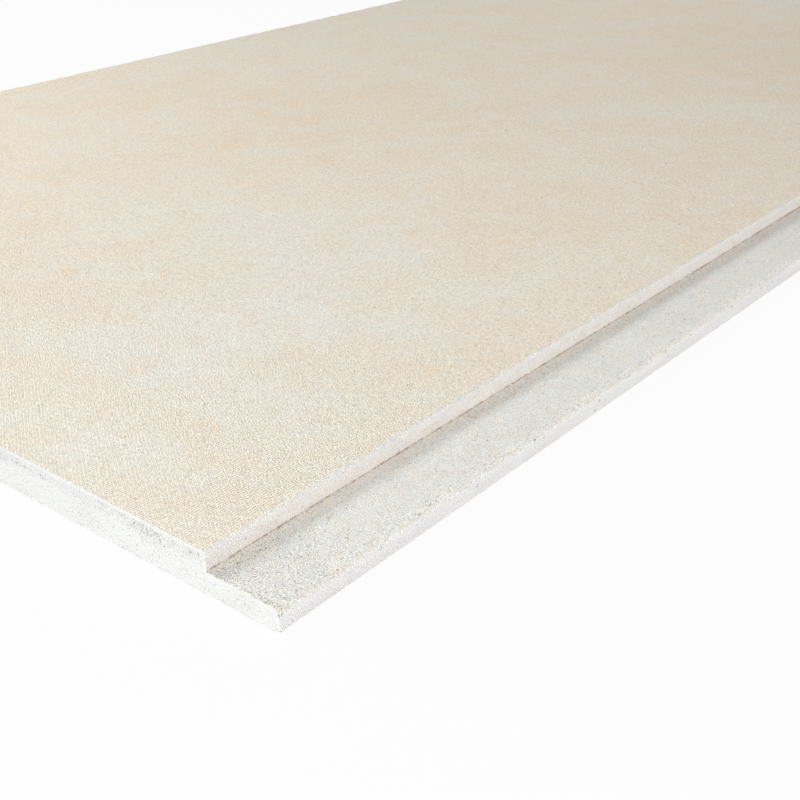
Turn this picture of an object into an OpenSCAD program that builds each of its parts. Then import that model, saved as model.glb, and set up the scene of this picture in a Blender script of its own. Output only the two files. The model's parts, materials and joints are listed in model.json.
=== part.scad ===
// Gypsum floor panel: one piece of gypsum fibreboard stock for a dry floor, with a milled lap
// along each long side and sawn short ends. The lower lip of one panel goes under the upper
// lip of the next, so that their walking faces close flush.
//
// The panel lies flat with its walking face up. The origin is under its middle, on the floor:
// +Z is up, +Y runs along the panel, and +X points to the side with the lower lip.

/* [Board] */
// Width that a laid panel covers, from its step to the nose of its upper lip
cover_w = 600; // [300:10:1250]
// Length between the sawn ends
panel_l = 1200; // [600:10:2500]
// Thickness of the board
panel_t = 18; // [16:0.5:25]

/* [Lap] */
// Reach of each lip
lap_w = 35; // [20:1:60]
// Depth of the rebate in the walking face
step_h = 8; // [6:0.5:9]
// Play for glue between an upper lip and the lower lip that it covers
glue_play = 0.3; // [0:0.1:1]
// Radius that the cutter leaves in the root of a rebate
root_r = 0.5; // [0.2:0.1:1.5]

/* [Noses] */
// Radius on the upper corner of the lower lip
nose_top_r = 3.5; // [1:0.5:4]
// Radius on the lower corner of the lower lip, which is hardly broken
nose_foot_r = 0.6; // [0.2:0.1:3]
// Radius on the lower corner of the upper lip, which leads it down on to its neighbour
lead_r = 2; // [0.5:0.5:3]

/* [Arrises] */
// Radius on the long arrises of the walking face
face_arris_r = 0.8; // [0.2:0.1:2]
// Radius on the long arris of the underside, below the upper lip
heel_arris_r = 1; // [0.2:0.1:2]
// Radius on the sawn arrises of the walking face
sawn_arris_r = 0.6; // [0.2:0.1:2]

/* [Hidden] */
$fn = 96;

// The lips reach out on opposite sides, so the board is wider than what it covers.
full_w = cover_w + lap_w;

// Across the panel: its two noses, and the wall of each rebate
lower_nose_x = full_w / 2;
upper_nose_x = -full_w / 2;
step_x = lower_nose_x - lap_w;
heel_x = upper_nose_x + lap_w + glue_play;

// Levels of the two faces that are glued to a neighbour
ledge_z = panel_t - step_h;
under_z = ledge_z + glue_play;

// How far a cutter runs out past the board
runout = 5;

board_colour = [0.92, 0.90, 0.86];

// Cutter for a rebate. Its rounded tip is in the root, at the origin, and it cuts a space of
// w by h towards +x and +y.
module rebate_cutter(w, h) {
    difference() {
        square([w + runout, h + runout]);
        difference() {
            square(root_r);
            translate([root_r, root_r]) circle(root_r);
        }
    }
}

// Waste outside a rounded corner at the origin, with the board on its -x and -y sides
module corner_waste(r) {
    difference() {
        translate([-r, -r]) square(r + runout);
        translate([-r, -r]) circle(r);
    }
}

// The same for a corner of the section at x, z. It points up and to +x, and turn takes it
// round from there.
module rounded_corner(x, z, r, turn = 0) {
    translate([x, z]) rotate(turn) corner_waste(r);
}

// Section across the panel: a plank, less a rebate in its face and one in its underside
module lap_section() {
    difference() {
        translate([upper_nose_x, 0]) square([full_w, panel_t]);

        translate([step_x, ledge_z]) rebate_cutter(lap_w, step_h);
        translate([heel_x, under_z]) rotate(180) rebate_cutter(lap_w + glue_play, under_z);

        // The side with the lower lip
        rounded_corner(step_x, panel_t, face_arris_r);
        rounded_corner(lower_nose_x, ledge_z, nose_top_r);
        rounded_corner(lower_nose_x, 0, nose_foot_r, turn = -90);

        // The side with the upper lip
        rounded_corner(upper_nose_x, panel_t, face_arris_r, turn = 90);
        rounded_corner(upper_nose_x, under_z, lead_r, turn = 180);
        rounded_corner(heel_x, 0, heel_arris_r, turn = 180);
    }
}

// Waste along the walking face's arris at the +Y end
module sawn_arris() {
    translate([upper_nose_x - runout, panel_l / 2, panel_t])
        rotate([90, 0, 90])
            linear_extrude(full_w + 2 * runout) corner_waste(sawn_arris_r);
}

module panel() {
    color(board_colour) difference() {
        translate([0, panel_l / 2, 0])
            rotate([90, 0, 0])
                linear_extrude(panel_l) lap_section();
        for (end = [0, 180]) rotate(end) sawn_arris();
    }
}

panel();
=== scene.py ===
import json
import math

import bmesh
import bpy
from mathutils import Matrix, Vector, noise


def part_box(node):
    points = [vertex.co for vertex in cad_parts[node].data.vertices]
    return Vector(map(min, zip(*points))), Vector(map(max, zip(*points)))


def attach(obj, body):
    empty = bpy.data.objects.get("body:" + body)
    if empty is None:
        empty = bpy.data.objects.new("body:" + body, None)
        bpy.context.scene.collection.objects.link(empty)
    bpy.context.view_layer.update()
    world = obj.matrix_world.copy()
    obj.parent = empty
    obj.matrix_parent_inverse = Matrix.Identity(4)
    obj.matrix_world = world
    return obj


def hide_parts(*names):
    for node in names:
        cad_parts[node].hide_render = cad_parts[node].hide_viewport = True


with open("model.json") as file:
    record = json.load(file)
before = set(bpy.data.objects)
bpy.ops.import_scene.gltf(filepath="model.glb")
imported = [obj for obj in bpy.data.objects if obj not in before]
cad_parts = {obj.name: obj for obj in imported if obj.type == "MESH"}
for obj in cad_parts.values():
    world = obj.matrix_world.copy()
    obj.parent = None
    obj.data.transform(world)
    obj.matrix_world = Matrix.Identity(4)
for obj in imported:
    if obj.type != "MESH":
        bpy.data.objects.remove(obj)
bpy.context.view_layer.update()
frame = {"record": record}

bl_info = {
    "name": "Gypsum floor panel",
    "version": (1, 0, 0),
    "blender": (4, 5, 0),
    "location": "3D View > Sidebar > Floor Panel",
    "description": "Models a lapped gypsum floor panel, its finishes and the stage it lies on",
    "category": "Object",
}

# The section of the panel, from the frame: x across it and z above the floor
LOW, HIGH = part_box("panel")
MOUNTS = {mount["name"]: Vector(mount["pos_m"]) for mount in frame["record"]["mounts"]}
STEP_X = MOUNTS["step_face"].x
LEDGE_Z = MOUNTS["lower_lip_glue_face"].z
UNDER_Z = MOUNTS["upper_lip_glue_face"].z
HEEL_X = LOW.x + (HIGH.x - STEP_X) + (UNDER_Z - LEDGE_Z)
NEAR_CORNER = Vector((STEP_X, LOW.y, HIGH.z))

# How far down the lower lip's nose the rough milling of its ledge runs
MILLED_BAND = 0.00175

# Slots of the panel's mesh, in order
WALKING, LEDGE, WALL, SAWN, UNDERSIDE = range(5)

# The floor's half side, how far it lies below the panel, and how far inside the foot it opens
FLOOR_REACH = 6.0
FLOOR_GAP = 0.00005
FOOT_INSET = 0.002

# Two vertices this close share a line of the section
SAME = 1e-5
# Every flat is larger than this, and every facet of a rounded arris smaller
FLAT_AREA = 0.0035
# Every edge along an arris is longer than this, and every edge across one shorter
CROSS_EDGE = 0.0025
# Settles which way a count of facets that ends in a half is rounded
ROUNDING = 0.01

# Plain colours of the stage
PALE = (0.8, 0.8, 0.8, 1.0)
WHITE = (1.0, 1.0, 1.0, 1.0)


# ---------------------------------------------------------------- settings

class PanelSizes(bpy.types.PropertyGroup):
    """Sizes of the panel's arrises and of what wear does to them."""

    face_arris: bpy.props.FloatProperty(
        name="Face arris", description="Radius of the walking face's long arrises",
        default=0.0006, min=0.0001, unit="LENGTH", precision=4)
    root: bpy.props.FloatProperty(
        name="Root", description="Radius in the root of each rebate",
        default=0.0005, min=0.0001, unit="LENGTH", precision=4)
    nose_top: bpy.props.FloatProperty(
        name="Nose top", description="Radius of the lower lip's upper corner",
        default=0.0035, min=0.0005, unit="LENGTH", precision=4)
    nose_foot: bpy.props.FloatProperty(
        name="Nose foot", description="Radius of the lower lip's lower corner",
        default=0.0006, min=0.0001, unit="LENGTH", precision=4)
    heel: bpy.props.FloatProperty(
        name="Heel", description="Radius of the underside's arris below the upper lip",
        default=0.001, min=0.0001, unit="LENGTH", precision=4)
    lead: bpy.props.FloatProperty(
        name="Lead", description="Radius of the upper lip's lower corner",
        default=0.002, min=0.0001, unit="LENGTH", precision=4)
    sawn_arris: bpy.props.FloatProperty(
        name="Sawn arris", description="Least radius of the arrises round a sawn end",
        default=0.00035, min=0.0001, unit="LENGTH", precision=4)
    fine_reach: bpy.props.FloatProperty(
        name="Fine reach", description="Length from the near end where arrises get their finest wear",
        default=0.32, min=0.05, unit="LENGTH")
    fine_facet: bpy.props.FloatProperty(
        name="Fine facet", description="Length of a facet along an arris near the near end",
        default=0.0005, min=0.0002, unit="LENGTH", precision=4)
    coarse_facet: bpy.props.FloatProperty(
        name="Coarse facet", description="Length of a facet along an arris elsewhere",
        default=0.0015, min=0.0005, unit="LENGTH", precision=4)


class PanelColours(bpy.types.PropertyGroup):
    """Colours of the panel's finishes, in linear light."""

    chalk: bpy.props.FloatVectorProperty(
        name="Chalk", description="Palest skin of the walking face",
        default=(0.815, 0.805, 0.735), subtype="COLOR")
    ochre: bpy.props.FloatVectorProperty(
        name="Ochre", description="Warmest skin of the walking face",
        default=(0.82, 0.68, 0.50), subtype="COLOR")
    sawn: bpy.props.FloatVectorProperty(
        name="Sawn", description="Freshly sawn gypsum",
        default=(0.88, 0.89, 0.88), subtype="COLOR")
    crumb: bpy.props.FloatVectorProperty(
        name="Crumb", description="Grey crumbs in a sawn end",
        default=(0.48, 0.42, 0.33), subtype="COLOR")
    ledge: bpy.props.FloatVectorProperty(
        name="Ledge", description="Rough milled face of a lip",
        default=(0.83, 0.83, 0.80), subtype="COLOR")
    wall: bpy.props.FloatVectorProperty(
        name="Wall", description="Smooth milled wall of a rebate or a nose",
        default=(0.805, 0.79, 0.775), subtype="COLOR")
    rust: bpy.props.FloatVectorProperty(
        name="Rust", description="Rusty specks in the milled face",
        default=(0.62, 0.38, 0.25), subtype="COLOR")
    fleck: bpy.props.FloatVectorProperty(
        name="Fleck", description="Dark fibre ends and specks",
        default=(0.22, 0.17, 0.13), subtype="COLOR")
    # This warm colour also paints brown shade into the root's shadow, besides the real singe
    singe_and_shade: bpy.props.FloatVectorProperty(
        name="Singe", description="Warm tint round the burn in a root",
        default=(0.70, 0.55, 0.40), subtype="COLOR")
    # This dark colour also makes the char specks, which are partly painted shade in the root's shadow
    scorch_and_shade: bpy.props.FloatVectorProperty(
        name="Scorch", description="Burn that the cutter leaves in a root",
        default=(0.29, 0.205, 0.135), subtype="COLOR")


class StageSettings(bpy.types.PropertyGroup):
    """The camera, the lamps and the floor."""

    camera_offset: bpy.props.FloatVectorProperty(
        name="Camera offset", description="Camera's place, from the step's near top corner",
        default=(0.2835, -0.2411, 0.2505), subtype="TRANSLATION", unit="LENGTH")
    camera_turn: bpy.props.FloatProperty(
        name="Camera turn", description="Camera's turn from +Y towards -X",
        default=math.radians(39.11), subtype="ANGLE", unit="ROTATION")
    camera_dip: bpy.props.FloatProperty(
        name="Camera dip", description="How far below the horizon the camera looks",
        default=math.radians(27.56), subtype="ANGLE", unit="ROTATION")
    lens: bpy.props.FloatProperty(
        name="Lens", description="Focal length on a 36 mm wide sensor",
        default=57.3, min=10.0, unit="CAMERA")
    key: bpy.props.FloatProperty(
        name="Key", description="Power of the key lamp", default=9.2, unit="POWER")
    fill: bpy.props.FloatProperty(
        name="Fill", description="Power of the fill lamp", default=4.35, unit="POWER")
    side: bpy.props.FloatProperty(
        name="Side", description="Power of the side lamp", default=9.0, unit="POWER")
    back: bpy.props.FloatProperty(
        name="Back", description="Power of the lamp behind the far end", default=5.0, unit="POWER")
    under: bpy.props.FloatProperty(
        name="Under", description="Power of the lamp below the floor's opening", default=13.0,
        unit="POWER")
    sky: bpy.props.FloatProperty(
        name="Sky", description="Brightness of the room around the panel", default=0.44)
    key_offset: bpy.props.FloatVectorProperty(
        name="Key offset", description="Key lamp's place, from the step's near top corner",
        default=(-1.15, -0.12, 0.92), subtype="TRANSLATION", unit="LENGTH")
    fill_offset: bpy.props.FloatVectorProperty(
        name="Fill offset", description="Fill lamp's place, from the step's near top corner",
        default=(0.1, -0.75, 0.45), subtype="TRANSLATION", unit="LENGTH")
    side_offset: bpy.props.FloatVectorProperty(
        name="Side offset", description="Side lamp's place, from the step's near top corner",
        default=(1.3, 0.3, 0.4), subtype="TRANSLATION", unit="LENGTH")
    back_offset: bpy.props.FloatVectorProperty(
        name="Back offset", description="Back lamp's place, from the step's near top corner",
        default=(-0.9, 2.0, 0.45), subtype="TRANSLATION", unit="LENGTH")
    under_offset: bpy.props.FloatVectorProperty(
        name="Under offset", description="Under lamp's place, from the middle of the panel",
        default=(0.0, 0.0, -1.6), subtype="TRANSLATION", unit="LENGTH")
    lamp_size: bpy.props.FloatProperty(
        name="Lamp size", description="Side of each square lamp", default=0.5, min=0.01,
        unit="LENGTH")
    whitening: bpy.props.FloatProperty(
        name="Whitening", description="How much of the floor's shading is washed out to white",
        default=0.92, min=0.0, max=1.0)


# ---------------------------------------------------------------- shader wires

class Wire:
    """A socket of a node tree. Python arithmetic on it adds Math nodes."""

    def __init__(self, shading, socket):
        self.shading = shading
        self.socket = socket

    def __add__(self, other):
        return self.shading.maths("ADD", self, other)

    def __sub__(self, other):
        return self.shading.maths("SUBTRACT", self, other)

    def __rsub__(self, other):
        return self.shading.maths("SUBTRACT", other, self)

    def __mul__(self, other):
        return self.shading.maths("MULTIPLY", self, other)

    def __abs__(self):
        return self.shading.maths("ABSOLUTE", self)

    __radd__ = __add__
    __rmul__ = __mul__

    def cos(self):
        return self.shading.maths("COSINE", self)

    def most(self, other):
        return self.shading.maths("MAXIMUM", self, other)

    def ramp(self, low, high):
        """0 below low, 1 above high and smooth between them; low may be the higher."""
        return self.shading.node(
            "ShaderNodeMapRange", {"interpolation_type": "SMOOTHSTEP"},
            {"Value": self, "From Min": low, "From Max": high})


class Shading:
    """The node tree of a material or of the room."""

    def __init__(self, owner):
        owner.use_nodes = True
        self.tree = owner.node_tree
        self.tree.nodes.clear()

    def node(self, kind, settings=None, inputs=None, output=0):
        """Adds a node, sets it, then fills or links its inputs. Gives one of its outputs."""
        made = self.tree.nodes.new(kind)
        for name, value in (settings or {}).items():
            setattr(made, name, value)
        for name, value in (inputs or {}).items():
            if isinstance(value, Wire):
                self.tree.links.new(value.socket, made.inputs[name])
            else:
                made.inputs[name].default_value = value
        return Wire(self, made.outputs[output]) if made.outputs else None

    def maths(self, operation, *values):
        return self.node("ShaderNodeMath", {"operation": operation}, dict(enumerate(values)))

    def seen_directly(self):
        """1 for what the camera, gloss and glass see, 0 for the light on the panel."""
        rays = self.node("ShaderNodeLightPath").socket.node.outputs
        camera, gloss, glass = (
            Wire(self, rays[name])
            for name in ("Is Camera Ray", "Is Glossy Ray", "Is Transmission Ray"))
        return camera.most(gloss).most(glass)


class Finish(Shading):
    """A material under construction, with the few kinds of pattern that it needs.

    from_step is how far in from the step a place is, towards the walking face's middle, and
    from_end how far in from the nearer sawn end.
    """

    def __init__(self, name):
        self.material = bpy.data.materials.new(name)
        super().__init__(self.material)
        self.place = self.node("ShaderNodeTexCoord", output="Object")
        parts = self.node("ShaderNodeSeparateXYZ", inputs={"Vector": self.place})
        outputs = parts.socket.node.outputs
        self.x, self.y, self.z = (Wire(self, outputs[axis]) for axis in "XYZ")
        self.from_step = STEP_X - self.x
        self.from_end = HIGH.y - abs(self.y)

    def stretched(self, across, along, up=1.0):
        """Object coordinates, scaled on each axis."""
        return self.node("ShaderNodeVectorMath", {"operation": "MULTIPLY"},
                         {0: self.place, 1: (across, along, up)})

    def shifted(self, place, shift):
        """The same place in another part of a pattern."""
        return self.node("ShaderNodeVectorMath", {"operation": "ADD"},
                         {0: place, 1: (shift, shift, shift)})

    def cloud(self, size, detail=2.0, roughness=0.5, place=None, shift=0.0):
        """Noise round 0, mostly within 0.3 of it, with features of about the given size."""
        spot = self.shifted(place or self.place, shift)
        return self.node("ShaderNodeTexNoise", {"noise_dimensions": "3D"},
                         {"Vector": spot, "Scale": 1.0 / size, "Detail": detail,
                          "Roughness": roughness}) - 0.5

    def spots(self, pitch, radius, torn, place=None, shift=0.0):
        """Scattered spots of uneven strength, whose outlines the torn noise breaks up."""
        spot = self.shifted(place or self.place, shift)
        away = self.node("ShaderNodeTexVoronoi", {"feature": "F1"},
                         {"Vector": spot, "Scale": 1.0 / pitch}, output="Distance")
        random = Wire(self, away.socket.node.outputs["Color"])
        chance = self.node("ShaderNodeSeparateColor", inputs={"Color": random})
        spread = radius / pitch
        return (away + torn * spread * 3).ramp(spread, spread * 0.35) * chance.ramp(0.1, 0.9)

    def mix(self, factor, first, second, blend="MIX"):
        """Two colours mixed by a factor. They are the Mix node's inputs 6 and 7."""
        shade = self.node("ShaderNodeMix", {"data_type": "RGBA", "blend_type": blend},
                          {0: factor}, output=2)
        for index, value in ((6, first), (7, second)):
            socket = shade.socket.node.inputs[index]
            if isinstance(value, Wire):
                self.tree.links.new(value.socket, socket)
            else:
                socket.default_value = (*value[:3], 1.0)
        return shade

    def shaded(self, colour, light):
        """The colour times a number that varies round 1."""
        grey = self.node("ShaderNodeCombineColor", inputs={0: light, 1: light, 2: light})
        return self.mix(1.0, colour, grey, "MULTIPLY")

    def close(self, colour, roughness, height):
        """Ends the material in a dull mineral surface whose relief is height, in metres."""
        bump = self.node("ShaderNodeBump", inputs={
            "Strength": 1.0, "Distance": 1.0, "Height": height})
        surface = self.node("ShaderNodeBsdfPrincipled", inputs={
            "Base Color": colour, "Roughness": roughness, "Normal": bump,
            "Specular IOR Level": 0.25})
        self.node("ShaderNodeOutputMaterial", inputs={"Surface": surface})
        return self.material


# ---------------------------------------------------------------- finishes

# Pitches of the twill screen that was pressed into the walking face
WARP_PITCH = 0.001296
WEFT_PITCH = 0.000868
# Distances in from a sawn end over which the print grows firmer, then sharp
PRINT_FIRMS = (0.22, 0.06)
PRINT_SHARPENS = (0.07, 0.015)
# Distances in from the step over which its rows fall into line, and its warp shows
ROWS_ALIGN = (0.22, 0.1)
WARP_SHOWS = (0.1, 0.05)
# The place near each corner of the step where the warp is pressed deepest, and its extent
DEEP_FROM_STEP = 0.017
DEEP_FROM_END = 0.047
DEEP_EXTENT = (0.027, 0.012)

# Distances in from a sawn end over which a ledge's grit coarsens, and then once more at its rim
GRIT_COARSENS = (0.06, 0.01)
RIM_COARSENS = (0.003, 0.0005)

# The cutter's burn: how far from a root its line, tint, stain and char end, and where each is full.
# The stain and char reach across the root's shadow and are partly painted shade there.
BURN_LINE = (0.0007, 0.0004)
BURN_TINT = (0.0025, 0.0005)
BURN_STAIN_AND_SHADE = (0.012, 0.002)
BURN_CHAR_AND_SHADE = (0.012, 0.004)

# Depths below the walking face where a sawn end's grey band sets in and fades out
BAND_TOP = (0.0009, 0.0015)
BAND_FOOT = (0.0075, 0.004)
# Depths below the walking face, and below the ledge, at which a sawn end's marks set in
FACE_MARKS = (0.0004, 0.0016)
LEDGE_MARKS = (0.0006, 0.0022)

# Size of each finish's finest grain, and how far it stands out
SKIN_GRAIN = 0.00045
SKIN_RELIEF = 0.0001
LEDGE_GRAIN = 0.00048
LEDGE_RELIEF = 0.00045
WALL_GRAIN = 0.0005
WALL_RELIEF = 0.00012
SAWN_GRAIN = 0.0005
SAWN_RELIEF = 0.00018
BACK_GRAIN = 0.0012
BACK_RELIEF = 0.0003
# Relief of the screen print, a ledge's pores, a sawn end's marks and the back's sanding lines
PRINT_RELIEF = 0.00004
PORE_RELIEF = 0.0004
MARK_RELIEF = 0.0002
LINE_RELIEF = 0.0001


def screen_print(finish, brink, crisp):
    """Imprint of the screen: the twill's diagonal, with its threads showing at the panel's ends."""
    loose = finish.cloud(0.0028, detail=1.0, shift=15.8) * (1.0 - crisp) * 0.00025
    wander = finish.cloud(0.02, detail=1.0) * 0.0004 + loose
    warp = (finish.x + wander) * (math.pi / WARP_PITCH)
    weft = (finish.y + wander) * (math.pi / WEFT_PITCH)
    twill = (warp + weft).cos() * 0.3 + ((warp + weft) * 2).cos() * brink * 0.55
    twill = twill * (crisp * 0.3 + 0.7)
    across = abs(finish.from_step - DEEP_FROM_STEP) * 1.4
    along = abs(finish.from_end - DEEP_FROM_END)
    firm = across.most(along).ramp(*DEEP_EXTENT) * 0.55
    firm = firm + finish.from_step.ramp(*WARP_SHOWS) * 0.55 + brink * 0.2
    threads = (warp * 2).cos() * firm + (weft * 2).cos() * brink * 0.45
    pressed = finish.cloud(0.035, detail=2.0, roughness=0.65, shift=24.6).ramp(-0.2, 0.12)
    return (twill + threads) * (pressed * 0.3 + 0.7)


def walking_face(colours):
    """Pale skin, printed by a screen, blotched with ochre and lightly soiled."""
    finish = Finish("embossed_skin")
    ends = finish.from_end.ramp(*PRINT_FIRMS)
    brink = finish.from_end.ramp(*PRINT_SHARPENS)
    crisp = finish.from_step.ramp(*ROWS_ALIGN) * brink
    imprint = screen_print(finish, brink, crisp) * (ends * 0.75 + 0.25)
    strength = ends * 0.75 + brink * 0.2 - crisp * 0.85 + 0.65
    grain = finish.cloud(SKIN_GRAIN, detail=0.0) * strength
    height = imprint * PRINT_RELIEF + grain * SKIN_RELIEF

    mottle = finish.cloud(0.04, detail=5.0, roughness=0.7, shift=28.0)
    ochre = finish.cloud(0.025, detail=3.0, roughness=0.6, shift=10.1).ramp(0.1, 0.3)
    broad = finish.cloud(0.3, detail=1.0, shift=7.0)
    soil = finish.cloud(0.0016, detail=2.0, roughness=0.8, shift=5.3)
    warmth = mottle * 1.2 + ochre * 0.45 + broad * 0.8 + 0.47
    colour = finish.mix(warmth, colours.chalk, colours.ochre)
    flecks = finish.spots(0.006, 0.0008, torn=grain)
    colour = finish.mix(flecks * 0.6, colour, colours.fleck)
    light = 1.0 + imprint * (crisp * 0.04 + 0.2) + grain * 2.0 + soil * 0.8
    return finish.close(finish.shaded(colour, light), roughness=0.85, height=height)


def milled_ledge(colours):
    """Rough milled gypsum: open pores with painted shade in them, torn grit and a few rusty specks.
    """
    finish = Finish("milled_ledge")
    brink = finish.from_end.ramp(*RIM_COARSENS)
    coarse = finish.from_end.ramp(*GRIT_COARSENS) * 0.3 + brink * 0.3 + 0.7
    grit = finish.cloud(LEDGE_GRAIN, detail=0.0) * coarse
    crust = finish.cloud(0.0014, detail=2.0, roughness=0.85, shift=9.4)
    pores = finish.spots(0.0018, 0.00045, torn=grit, shift=2.0) * coarse
    clouding = finish.cloud(0.02, detail=5.0, roughness=0.85, shift=4.0)
    height = grit * LEDGE_RELIEF - pores * PORE_RELIEF
    warmth = finish.cloud(0.006, detail=2.0, roughness=0.5, shift=5.0) * 0.6 + 0.1
    colour = finish.mix(warmth + clouding * 0.6, colours.ledge, colours.ochre)
    rusty = finish.spots(0.003, 0.0005, torn=grit, shift=4.4)
    colour = finish.mix(rusty * 0.55, colour, colours.rust)
    flecks = finish.spots(0.005, 0.0006, torn=grit, shift=7.0)
    colour = finish.mix(flecks * 0.8, colour, colours.fleck)
    colour = worn_edge(finish, burnt_and_shaded(finish, colour, colours), colours)
    # Painted shade: the pores are made darker, as if in shade
    light = 1.0 + grit * 1.5 + crust * 0.3 + clouding * 0.3 - pores * 0.25
    return finish.close(finish.shaded(colour, light), roughness=0.9, height=height)


def milled_wall(colours):
    """Smooth milled gypsum, with a few dark fibre ends, and painted shade that darkens it towards the
    floor.
    """
    finish = Finish("milled_wall")
    grain = finish.cloud(WALL_GRAIN, detail=0.0)
    streak = finish.cloud(0.008, detail=4.0, roughness=0.8, place=finish.stretched(1.0, 0.3, 2.0))
    fibres = finish.spots(0.0042, 0.0006, torn=grain, place=finish.stretched(1.0, 0.6), shift=3.0)
    colour = finish.mix(fibres * 0.7, colours.wall, colours.fleck)
    colour = worn_edge(finish, burnt_and_shaded(finish, colour, colours), colours)
    # Painted shade: the colour darkens over the last 6 mm above the floor
    foot = finish.z.ramp(0.006, 0.0)
    light = 1.0 + grain + streak * 0.25 - foot * 0.03
    height = grain * WALL_RELIEF
    return finish.close(finish.shaded(colour, light), roughness=0.8, height=height)


def burnt_and_shaded(finish, colour, colours):
    """The colour, with the cutter's burn along the rebate's root: a broken line in a soft tint, and a
    brown stain with dark char specks across the root's shadow, which are partly real burn and partly
    painted shade.
    """
    out = abs(finish.from_step)
    up = abs(finish.z - LEDGE_Z)
    away = out.most(up)
    along = finish.stretched(0.3, 1.0, 0.3)
    broken = finish.cloud(0.005, detail=4.0, roughness=0.85, place=along)
    tint = away.ramp(*BURN_TINT) * (broken.ramp(-0.15, 0.15) * 0.35 + 0.1)
    patchy = finish.cloud(0.004, detail=2.0, roughness=0.8, shift=6.9).ramp(-0.05, 0.2)
    # Brown stain out across the root's shadow: partly burn, partly painted shade
    stain_and_shade = away.ramp(*BURN_STAIN_AND_SHADE) * (patchy * 0.25 + 0.12)
    jagged = finish.cloud(0.0012, detail=1.0, shift=3.7)
    line = (out.most(up * 2) + jagged * 0.001).ramp(*BURN_LINE)
    line = line * (broken.ramp(-0.1, 0.12) * 0.65 + 0.3)
    # Dark char specks across the root's shadow: partly burn, partly painted shade
    char_and_shade = finish.spots(0.0019, 0.0005, torn=jagged, shift=6.1) * away.ramp(*BURN_CHAR_AND_SHADE)
    colour = finish.mix(tint.most(stain_and_shade), colour, colours.singe_and_shade)
    return finish.mix(line.most(char_and_shade * 0.75), colour, colours.scorch_and_shade)


def worn_edge(finish, colour, colours):
    """The colour, with the dotted brown edge where the nose's rough milling meets its smooth face."""
    outside = finish.from_step.ramp(-0.03, -0.031)
    edge = abs(LEDGE_Z - MILLED_BAND - finish.z).ramp(0.0012, 0.0002)
    dots = finish.cloud(0.003, detail=3.0, roughness=0.8, shift=2.6).ramp(-0.15, 0.15)
    return finish.mix(outside * edge * dots * 0.35, colour, colours.singe_and_shade)


def sawn_end(colours):
    """Sawn gypsum: white, with a grey mottled band under the walking face."""
    finish = Finish("sawn_end")
    grain = finish.cloud(SAWN_GRAIN, detail=0.0)
    depth = HIGH.z - finish.z
    band = depth.ramp(*BAND_TOP) * depth.ramp(*BAND_FOOT)
    below_ledge = (LEDGE_Z - finish.z).most(finish.from_step.ramp(-0.001, 0.0))
    busy = below_ledge.ramp(*LEDGE_MARKS) * depth.ramp(*FACE_MARKS) * 0.7 + 0.3
    flat = finish.stretched(0.6, 1.0)
    patches = finish.cloud(0.009, detail=3.0, roughness=0.6, shift=8.2, place=flat).ramp(-0.02, 0.14)
    crumbs = finish.cloud(0.001, detail=2.0, roughness=0.9, shift=1.3).ramp(0.02, 0.14)
    marks = crumbs * busy * (band * (patches * 0.65 + 0.45) + patches * 0.35 + 0.12)
    colour = finish.mix(marks * 0.8, colours.sawn, colours.crumb)
    specks = finish.spots(0.0018, 0.00045, torn=grain, shift=3.3)
    colour = finish.mix(specks * busy * 0.35, colour, colours.crumb)
    light = 1.015 + (grain * 0.6 - 0.015) * busy
    height = grain * SAWN_RELIEF - (marks + specks) * MARK_RELIEF
    return finish.close(finish.shaded(colour, light), roughness=0.85, height=height)


def underside(colours):
    """Sanded back of the board."""
    finish = Finish("sanded_back")
    grain = finish.cloud(BACK_GRAIN, detail=2.0, roughness=0.7)
    mottle = finish.cloud(0.05, detail=5.0, roughness=0.7)
    lines = finish.cloud(0.002, detail=3.0, place=finish.stretched(1.0, 0.03), shift=6.0)
    flecks = finish.spots(0.013, 0.0009, torn=grain, shift=4.1)
    colour = finish.mix(mottle * 1.2 + 0.3, colours.ledge, colours.ochre)
    colour = finish.mix(flecks * 0.45, colour, colours.fleck)
    light = 1.0 + grain * 0.5 + lines * 0.15 + mottle * 0.15
    height = grain * BACK_RELIEF + lines * LINE_RELIEF
    return finish.close(finish.shaded(colour, light), roughness=0.9, height=height)


# ---------------------------------------------------------------- the panel's mesh

def rounded_corners(sizes):
    """Corners of the section in order: x, z, radius and the number of facets that round it."""
    return (
        (LOW.x, HIGH.z, sizes.face_arris, 3),
        (STEP_X, HIGH.z, sizes.face_arris, 3),
        (STEP_X, LEDGE_Z, sizes.root, 3),
        (HIGH.x, LEDGE_Z, sizes.nose_top, 8),
        (HIGH.x, LOW.z, sizes.nose_foot, 3),
        (HEEL_X, LOW.z, sizes.heel, 3),
        (HEEL_X, UNDER_Z, sizes.root, 3),
        (LOW.x, UNDER_Z, sizes.lead, 5),
    )


def on_one_end(edge):
    """True for an edge that lies in one of the two sawn ends."""
    first, second = (vertex.co.y for vertex in edge.verts)
    return abs(first - second) < SAME and min(abs(first - LOW.y), abs(first - HIGH.y)) < SAME


def round_edges(bm, edges, radius, facets):
    """Rounds edges to a radius, with a number of facets across each."""
    bmesh.ops.bevel(bm, geom=edges, offset=radius, offset_type="OFFSET", segments=facets,
                    profile=0.5, affect="EDGES", clamp_overlap=False, material=-1)


def plank(bm, sizes):
    """The lapped plank with its arrises rounded, before any wear."""
    corners = rounded_corners(sizes)
    outline = [bm.verts.new((x, LOW.y, z)) for x, z, _, _ in corners]
    end = bm.faces.new(outline)
    run = bmesh.ops.extrude_face_region(bm, geom=[end])
    moved = [item for item in run["geom"] if isinstance(item, bmesh.types.BMVert)]
    bmesh.ops.translate(bm, verts=moved, vec=(0.0, HIGH.y - LOW.y, 0.0))
    bmesh.ops.recalc_face_normals(bm, faces=bm.faces)
    for x, z, radius, facets in corners:
        line = [edge for edge in bm.edges
                if all(abs(v.co.x - x) < SAME and abs(v.co.z - z) < SAME for v in edge.verts)]
        round_edges(bm, line, radius, facets)
    rims = [edge for edge in bm.edges if on_one_end(edge)]
    round_edges(bm, rims, sizes.sawn_arris, 2)


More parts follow.
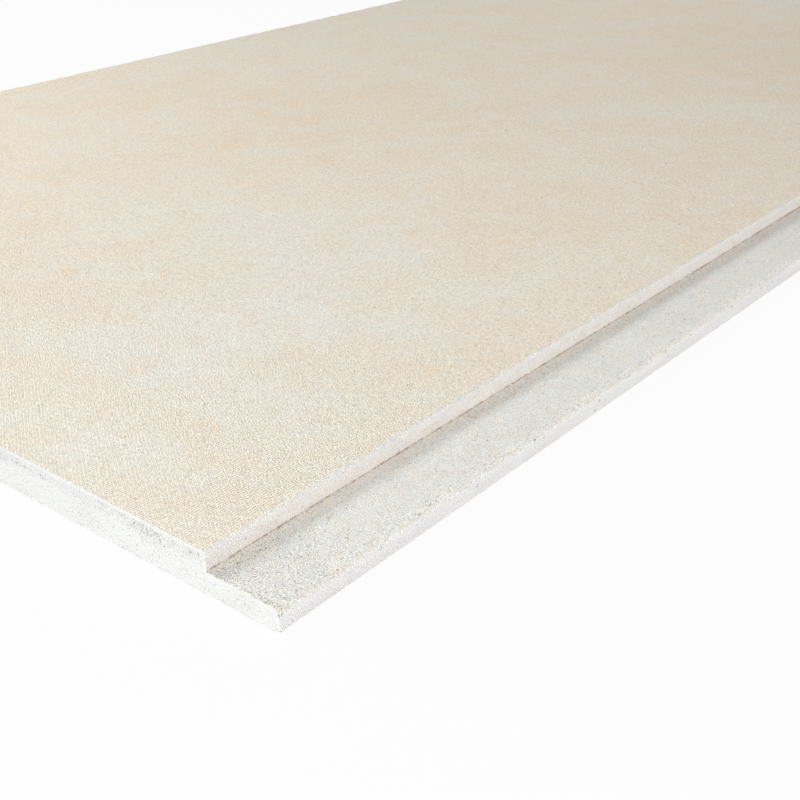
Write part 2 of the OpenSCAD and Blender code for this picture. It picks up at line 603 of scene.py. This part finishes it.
def finish_of(face, sizes):
    """The slot of a face of the plank, from where it is."""
    middle, normal = face.calc_center_median(), face.normal
    if min(middle.y - LOW.y, HIGH.y - middle.y) < sizes.sawn_arris:
        torn = normal.z > 0.8 and middle.x > STEP_X + sizes.root
        return LEDGE if torn else SAWN
    if normal.z > 0.99 and middle.z > HIGH.z - SAME:
        return WALKING
    if normal.z < -0.99 and middle.z < LOW.z + SAME:
        return UNDERSIDE
    if middle.x > STEP_X + sizes.root and middle.z > LEDGE_Z - MILLED_BAND:
        return LEDGE
    if normal.z < -0.9 and middle.z > UNDER_Z - SAME:
        return LEDGE
    return WALL


def is_flat(face):
    """True for the ten flat faces between the rounded arrises."""
    return face.calc_area() > FLAT_AREA


def divide(bm, sizes):
    """Cuts the arrises into short facets, the shortest near the near end."""
    everything = bm.verts[:] + bm.edges[:] + bm.faces[:]
    fine_end = LOW.y + sizes.fine_reach
    bmesh.ops.bisect_plane(bm, geom=everything, dist=1e-7,
                           plane_co=(0.0, fine_end, 0.0), plane_no=(0.0, 1.0, 0.0))
    counts = {}
    for edge in bm.edges:
        middle = (edge.verts[0].co + edge.verts[1].co) / 2
        length = edge.calc_length()
        facet = sizes.fine_facet if middle.y < fine_end - SAME else sizes.coarse_facet
        pieces = round(length / facet + ROUNDING)
        if length > CROSS_EDGE and pieces > 1:
            counts.setdefault(pieces - 1, []).append(edge)
    for cuts, edges in counts.items():
        bmesh.ops.subdivide_edges(bm, edges=edges, cuts=cuts)


# Wear marks, each as their spacing, how deep they go, and where in the noise they start
LONG_NICKS = (0.0013, 0.0007, 3.0)
LONG_CHIPS = (0.007, 0.0008, 5.0)
SMALL_BITES = (0.0032, 0.0014, 6.0)
LARGE_BITES = (0.009, 0.0022, 4.0)
ROUGH_NICKS = (0.0014, 0.0014, 8.0)
ROUGH_CHIPS = (0.004, 0.0016, 2.0)
SMOOTH_NICKS = (0.0014, 0.0002, 8.0)
SMOOTH_CHIPS = (0.004, 0.0005, 2.0)

# The noise at which a chip starts, and how fast it deepens beyond that
CHIP_START = 0.35
CHIP_GROWTH = 2.5
# Share of the full wear that a long arris gets, by its height, where it isn't all of it
WEAR_SHARE = {LOW.z: 0.2, LEDGE_Z: 0.5}
# Distances over which a ledge's wear at a sawn end sets in, from the root and from the nose
ROOT_SPAN = 0.003
NOSE_SPAN = 0.006
# How deep the nose's foot is blunted at its corner with a sawn end, and how far from it
FOOT_BLUNTING = 0.0014
FOOT_SPAN = 0.0035


def nicks(place, spacing, depth, start):
    """Fine wear at a place on an arris: 0 where it is whole, up to about the depth at a nick."""
    return max(0.0, noise.noise(place / spacing + Vector((start, 0.0, 0.0)))) * depth


def chips(place, spacing, depth, start):
    """Sparse chips along an arris: 0 between them, up to about the depth inside one."""
    swell = noise.noise(place / spacing + Vector((0.0, start, 0.0))) - CHIP_START
    return max(0.0, swell) * CHIP_GROWTH * depth


def wear_long_arrises(bm, sizes):
    """Lets the radius of each outer corner grow here and there, most on the walking face's."""
    for x, z, radius, _ in rounded_corners(sizes):
        if (x, z) in ((STEP_X, LEDGE_Z), (HEEL_X, UNDER_Z)):
            continue
        inward = Vector((math.copysign(1.0, -x), 0.0, 1.0 if z in (LOW.z, UNDER_Z) else -1.0))
        reach = radius + SAME
        share = WEAR_SHARE.get(z, 1.0)
        bitten = z == HIGH.z
        most = 2.0 if bitten else 1.0
        for vertex in bm.verts:
            offset = vertex.co - Vector((x, vertex.co.y, z))
            if -SAME < offset.x * inward.x < reach and -SAME < offset.z * inward.z < reach:
                along = Vector((x, vertex.co.y, z))
                growth = nicks(along, *LONG_NICKS) + chips(along, *LONG_CHIPS)
                if bitten:
                    growth += nicks(along, *SMALL_BITES) + nicks(along, *LARGE_BITES)
                vertex.co += offset * min(growth * share / radius, most)


def wear_end_arrises(bm, sizes):
    """Lets the radius round the sawn ends grow, most along the ledges and at the nose's foot."""
    width = sizes.sawn_arris
    for vertex in bm.verts:
        inset = min(vertex.co.y - LOW.y, HIGH.y - vertex.co.y)
        if inset > width + SAME:
            continue
        outward = Vector((vertex.normal.x, 0.0, vertex.normal.z)).normalized()
        drop = width - math.sqrt(max(0.0, width * width - (width - inset) ** 2))
        place = vertex.co + outward * drop
        rough = outward.z > 0.5 and place.x > STEP_X or outward.z < -0.5 and place.x < HEEL_X
        if rough:
            growth = nicks(place, *ROUGH_NICKS) + chips(place, *ROUGH_CHIPS)
            growth *= min(1.0, abs(place.x - STEP_X) / ROOT_SPAN, abs(place.x - HIGH.x) / NOSE_SPAN)
        else:
            growth = nicks(place, *SMOOTH_NICKS) + chips(place, *SMOOTH_CHIPS)
        from_foot = math.hypot(place.x - HIGH.x, place.z - LOW.z)
        growth += FOOT_BLUNTING * max(0.0, 1.0 - from_foot / FOOT_SPAN)
        inward = Vector((0.0, math.copysign(inset, -vertex.co.y), 0.0)) - outward * drop
        vertex.co += inward * (growth / width)


def build_panel(sizes, colours):
    """Models the plank, wears its arrises, closes its flats again and gives each face its finish."""
    bm = bmesh.new()
    plank(bm, sizes)
    for face in bm.faces:
        face.material_index = finish_of(face, sizes)
        face.smooth = True
    flats = [face for face in bm.faces if is_flat(face)]
    bmesh.ops.delete(bm, geom=flats, context="FACES_ONLY")
    divide(bm, sizes)
    bm.normal_update()
    wear_end_arrises(bm, sizes)
    wear_long_arrises(bm, sizes)
    rims = [edge for edge in bm.edges if edge.is_boundary]
    filled = bmesh.ops.edgeloop_fill(bm, edges=rims)["faces"]
    bmesh.ops.recalc_face_normals(bm, faces=bm.faces)
    for face in filled:
        face.material_index = finish_of(face, sizes)
        face.smooth = False
    mesh = bpy.data.meshes.new("floor_panel")
    bm.to_mesh(mesh)
    bm.free()
    panel = bpy.data.objects.new("floor_panel", mesh)
    bpy.context.scene.collection.objects.link(panel)
    for make in (walking_face, milled_ledge, milled_wall, sawn_end, underside):
        mesh.materials.append(make(colours))
    return panel


# ---------------------------------------------------------------- operators

class FLOORPANEL_OT_build_panel(bpy.types.Operator):
    """Model the panel with its worn arrises and give each face its finish"""

    bl_idname = "floorpanel.build_panel"
    bl_label = "Build Panel"

    def execute(self, context):
        scene = context.scene
        panel = build_panel(scene.panel_sizes, scene.panel_colours)
        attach(panel, "root")
        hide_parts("panel")
        return {"FINISHED"}


def floor_mesh():
    """A floor with an opening below the panel's foot, so that the back is seen and lit from below."""
    inset = Vector((FOOT_INSET, FOOT_INSET, 0.0))
    low = Vector((HEEL_X, LOW.y, LOW.z)) + inset
    high = Vector((HIGH.x, HIGH.y, LOW.z)) - inset
    bm = bmesh.new()
    bmesh.ops.create_grid(bm, x_segments=1, y_segments=1, size=FLOOR_REACH)
    for corner in (low, high):
        for across in ((1.0, 0.0, 0.0), (0.0, 1.0, 0.0)):
            bmesh.ops.bisect_plane(bm, geom=bm.verts[:] + bm.edges[:] + bm.faces[:],
                                   plane_co=corner, plane_no=across)
    middle = (low + high) / 2
    opening = [face for face in bm.faces if (face.calc_center_median() - middle).length < SAME]
    bmesh.ops.delete(bm, geom=opening, context="FACES")
    bmesh.ops.translate(bm, verts=bm.verts, vec=(0.0, 0.0, LOW.z - FLOOR_GAP))
    mesh = bpy.data.meshes.new("floor")
    bm.to_mesh(mesh)
    bm.free()
    return mesh


def floor_pale(whitening):
    """A dull pale floor that looks nearly white and keeps a shadow. From below it's clear."""
    finish = Finish("floor_pale")
    dull = finish.node("ShaderNodeBsdfDiffuse", inputs={"Color": PALE})
    white = finish.node("ShaderNodeEmission")
    clear = finish.node("ShaderNodeBsdfTransparent")
    above = finish.node("ShaderNodeMixShader", inputs={
        0: finish.seen_directly() * whitening, 1: dull, 2: white})
    below = finish.node("ShaderNodeNewGeometry", output="Backfacing")
    surface = finish.node("ShaderNodeMixShader", inputs={0: below, 1: above, 2: clear})
    finish.node("ShaderNodeOutputMaterial", inputs={"Surface": surface})
    return finish.material


def add_lamp(name, place, target, size, power):
    """A square lamp that lights the target and isn't seen itself."""
    light = bpy.data.lights.new(name, "AREA")
    light.shape = "SQUARE"
    light.size = size
    light.energy = power
    lamp = bpy.data.objects.new(name, light)
    lamp.location = place
    lamp.rotation_euler = (Vector(target) - Vector(place)).to_track_quat("-Z", "Y").to_euler()
    lamp.visible_camera = False
    bpy.context.scene.collection.objects.link(lamp)


class FLOORPANEL_OT_set_stage(bpy.types.Operator):
    """Lay a pale floor, hang the lamps and place the camera"""

    bl_idname = "floorpanel.set_stage"
    bl_label = "Set Stage"

    def execute(self, context):
        scene = context.scene
        stage = scene.panel_stage

        floor = bpy.data.objects.new("floor", floor_mesh())
        scene.collection.objects.link(floor)
        floor.data.materials.append(floor_pale(stage.whitening))

        scene.world = bpy.data.worlds.new("room")
        room = Shading(scene.world)
        walls = room.node("ShaderNodeBackground", inputs={"Strength": stage.sky})
        white = room.node("ShaderNodeBackground", inputs={"Color": WHITE})
        surface = room.node("ShaderNodeMixShader", inputs={
            0: room.seen_directly(), 1: walls, 2: white})
        room.node("ShaderNodeOutputWorld", inputs={"Surface": surface})

        middle = (LOW + HIGH) / 2
        for name, aim, offset, power in (
            ("key", NEAR_CORNER, stage.key_offset, stage.key),
            ("fill", NEAR_CORNER, stage.fill_offset, stage.fill),
            ("side", NEAR_CORNER, stage.side_offset, stage.side),
            ("back", NEAR_CORNER, stage.back_offset, stage.back),
            ("under", middle, stage.under_offset, stage.under),
        ):
            add_lamp(name, aim + Vector(offset), aim, stage.lamp_size, power)

        camera = bpy.data.cameras.new("camera")
        camera.lens = stage.lens
        camera.clip_start = 0.01
        viewer = bpy.data.objects.new("camera", camera)
        viewer.location = NEAR_CORNER + Vector(stage.camera_offset)
        viewer.rotation_euler = (math.pi / 2 - stage.camera_dip, 0.0, stage.camera_turn)
        scene.collection.objects.link(viewer)
        scene.camera = viewer
        scene.view_settings.view_transform = "Standard"
        return {"FINISHED"}


class FLOORPANEL_PT_sidebar(bpy.types.Panel):
    """The panel's settings and operators"""

    bl_idname = "FLOORPANEL_PT_sidebar"
    bl_label = "Floor Panel"
    bl_space_type = "VIEW_3D"
    bl_region_type = "UI"
    bl_category = "Floor Panel"

    def draw(self, context):
        for group, operator in (
            (context.scene.panel_sizes, FLOORPANEL_OT_build_panel),
            (context.scene.panel_colours, FLOORPANEL_OT_build_panel),
            (context.scene.panel_stage, FLOORPANEL_OT_set_stage),
        ):
            column = self.layout.column(align=True)
            for name in group.__annotations__:
                column.prop(group, name)
            column.operator(operator.bl_idname)


CLASSES = (
    PanelSizes,
    PanelColours,
    StageSettings,
    FLOORPANEL_OT_build_panel,
    FLOORPANEL_OT_set_stage,
    FLOORPANEL_PT_sidebar,
)


def register():
    for cls in CLASSES:
        bpy.utils.register_class(cls)
    bpy.types.Scene.panel_sizes = bpy.props.PointerProperty(type=PanelSizes)
    bpy.types.Scene.panel_colours = bpy.props.PointerProperty(type=PanelColours)
    bpy.types.Scene.panel_stage = bpy.props.PointerProperty(type=StageSettings)


def unregister():
    del bpy.types.Scene.panel_stage
    del bpy.types.Scene.panel_colours
    del bpy.types.Scene.panel_sizes
    for cls in reversed(CLASSES):
        bpy.utils.unregister_class(cls)


def main():
    register()
    bpy.ops.floorpanel.build_panel()
    bpy.ops.floorpanel.set_stage()


if __name__ == "__main__":
    main()
